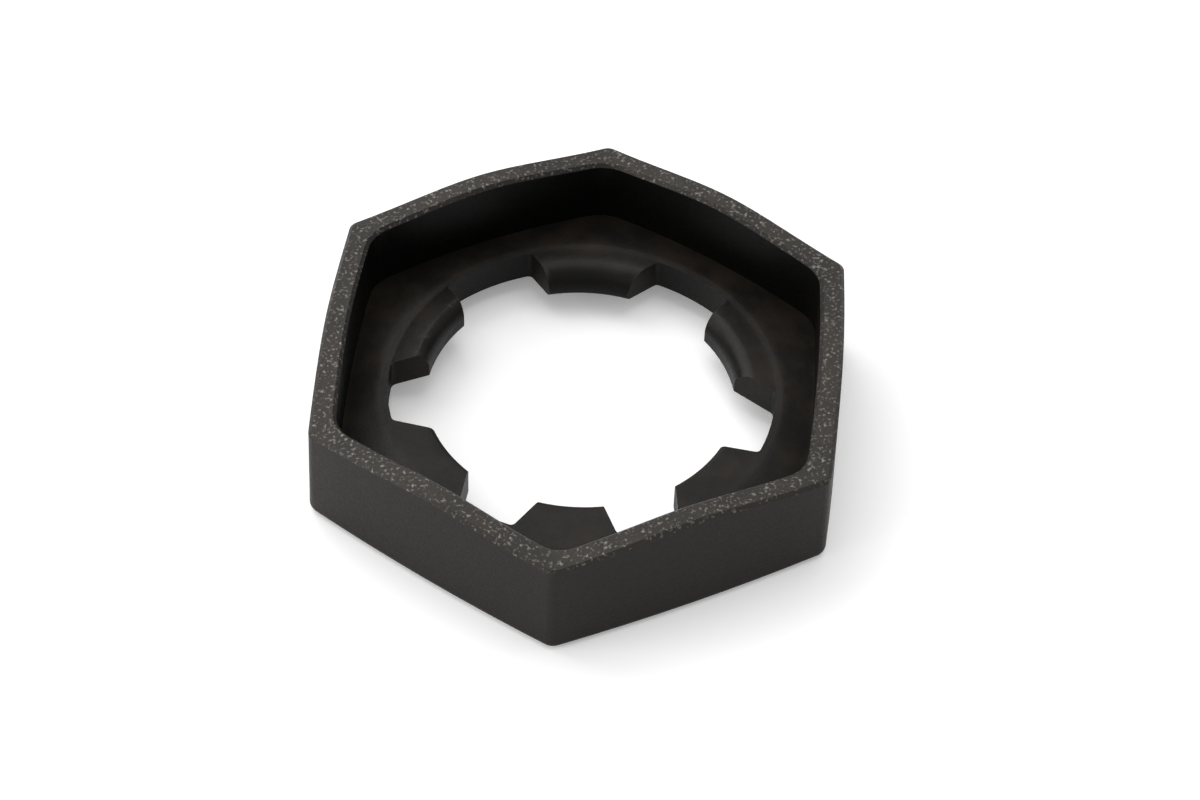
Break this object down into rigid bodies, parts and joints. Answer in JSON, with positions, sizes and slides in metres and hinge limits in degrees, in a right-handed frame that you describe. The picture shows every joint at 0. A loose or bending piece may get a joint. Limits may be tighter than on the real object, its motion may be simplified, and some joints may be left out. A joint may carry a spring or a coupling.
{
  "type": "self-locking counter nut",
  "caption": "Shallow hexagonal cup pressed from spring steel, open side up, with a ring of thread teeth cut free by slots in its dished floor.",
  "frame": {"origin": "on the thread axis, at the level of the seat that the nut rests on", "axes": "+Z along the thread axis, out of the open side of the cup; +Y to a corner of the hexagon; +X to the middle of a side"},
  "size_m": [0.037, 0.0418, 0.0089],
  "materials": {
    "blackened_steel": "black oxide, finely grained, rubbed brighter along the rim"
  },
  "bodies": {
    "root": {"counter_nut": "blackened_steel"}
  },
  "joints": []
}
